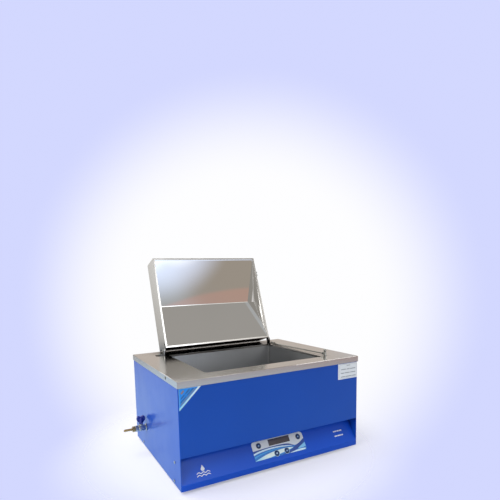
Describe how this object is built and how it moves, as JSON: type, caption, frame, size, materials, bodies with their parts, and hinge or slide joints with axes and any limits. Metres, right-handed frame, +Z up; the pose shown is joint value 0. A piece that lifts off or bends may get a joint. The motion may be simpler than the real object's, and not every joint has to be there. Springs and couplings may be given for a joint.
{
  "type": "water bath",
  "caption": "Bench-top heated laboratory water bath: blue steel case, recessed control panel, stainless tank, hinged gabled mirror-lined lid and side drain valve",
  "frame": {"origin": "centre of the overall bounding box in X and Y, on the bench under the rubber feet in Z, with the lid open as stored", "axes": "+X to the user's right along the cabinet's front, +Y towards the back where the lid hinges, +Z up"},
  "size_m": [0.677, 0.5314, 0.6274],
  "materials": {
    "painted_blue": "smooth glossy royal-blue enamel",
    "galvanised": "zinc-plated sheet with a faint mottled sheen",
    "foot_rubber": "matt black",
    "polished_stainless": "bright polished sheet",
    "satin_stainless": "satin",
    "mirror_stainless": "mirror polished",
    "bright_nickel": "bright plated",
    "yellow_brass": "machined, slightly dull",
    "blue_handle_plastic": "glossy dark blue moulding",
    "overlay_film": "printed film, fine satin texture",
    "button_plastic": "dark blue glossy keycap",
    "dark_window": "dark tinted acrylic",
    "black_plastic": "moulded, slightly glossy",
    "circuit_board": "green solder resist",
    "mineral_wool": "matted fibre",
    "lid_foam": "cut foam"
  },
  "bodies": {
    "cabinet": {"base_plate": "galvanised", "bracket_screw_left": "bright_nickel", "bracket_screw_right": "bright_nickel", "casing_wrapper": "painted_blue", "control_board": "circuit_board", "control_fascia": "painted_blue", "control_overlay": "overlay_film", "deck": "polished_stainless", "display_module": "black_plastic", "display_window": "dark_window", "drain_locknut": "yellow_brass", "drain_pipe": "satin_stainless", "flange_screw_left": "bright_nickel", "flange_screw_right": "bright_nickel", "foot_front_left": "foot_rubber", "foot_front_right": "foot_rubber", "foot_rear_left": "foot_rubber", "foot_rear_right": "foot_rubber", "fuse_holder": "black_plastic", "heater_element": "satin_stainless", "hinge_bracket_left": "polished_stainless", "hinge_bracket_right": "polished_stainless", "hinge_pin_left": "bright_nickel", "hinge_pin_right": "bright_nickel", "hose_barb": "yellow_brass", "mains_inlet": "black_plastic", "overheat_thermostat": "black_plastic", "rear_panel": "painted_blue", "rear_screw_1": "bright_nickel", "rear_screw_2": "bright_nickel", "rear_screw_3": "bright_nickel", "rear_screw_4": "bright_nickel", "side_screw_left_fascia": "bright_nickel", "side_screw_left_front": "bright_nickel", "side_screw_left_rear": "bright_nickel", "side_screw_right_fascia": "bright_nickel", "side_screw_right_front": "bright_nickel", "side_screw_right_rear": "bright_nickel", "solid_state_relay": "black_plastic", "stay_pin": "bright_nickel", "stay_post": "bright_nickel", "tank": "satin_stainless", "tank_insulation": "mineral_wool", "tank_shelf": "satin_stainless", "temperature_probe": "satin_stainless", "valve_body": "bright_nickel"},
    "lid": {"lid_shell": "polished_stainless", "lid_liner": "mirror_stainless", "lid_insulation": "lid_foam", "hinge_lug_left": "polished_stainless", "hinge_lug_right": "polished_stainless", "stay_catch": "bright_nickel", "lid_handle": "bright_nickel"},
    "valve": {"valve_ball_stem": "satin_stainless", "valve_handle": "blue_handle_plastic"},
    "stay": {"stay_rod": "bright_nickel"},
    "button_1": {"button_1": "button_plastic"},
    "button_2": {"button_2": "button_plastic"},
    "button_3": {"button_3": "button_plastic"},
    "button_4": {"button_4": "button_plastic"}
  },
  "joints": [
    {"name": "lid_hinge", "type": "hinge", "parent": "cabinet", "child": "lid", "pos_m": [0, 0.10308, 0.3122], "axis": [1, 0, 0], "range_deg": [0, 108.8]},
    {"name": "valve_turn", "type": "hinge", "parent": "cabinet", "child": "valve", "pos_m": [-0.283, 0.04088, 0.082], "axis": [0, 0, 1], "range_deg": [0, 90]},
    {"name": "stay_swing", "type": "hinge", "parent": "cabinet", "child": "stay", "pos_m": [0.2495, -0.20512, 0.305], "axis": [1, 0, 0], "range_deg": [0, 90]},
    {"name": "button_1_press", "type": "slide", "parent": "cabinet", "child": "button_1", "axis": [0, 0.846, -0.5331], "range_m": [0, 0.0008], "stiffness_N_per_m": 300},
    {"name": "button_2_press", "type": "slide", "parent": "cabinet", "child": "button_2", "axis": [0, 0.846, -0.5331], "range_m": [0, 0.0008], "stiffness_N_per_m": 300},
    {"name": "button_3_press", "type": "slide", "parent": "cabinet", "child": "button_3", "axis": [0, 0.846, -0.5331], "range_m": [0, 0.0008], "stiffness_N_per_m": 300},
    {"name": "button_4_press", "type": "slide", "parent": "cabinet", "child": "button_4", "axis": [0, 0.846, -0.5331], "range_m": [0, 0.0008], "stiffness_N_per_m": 300}
  ]
}
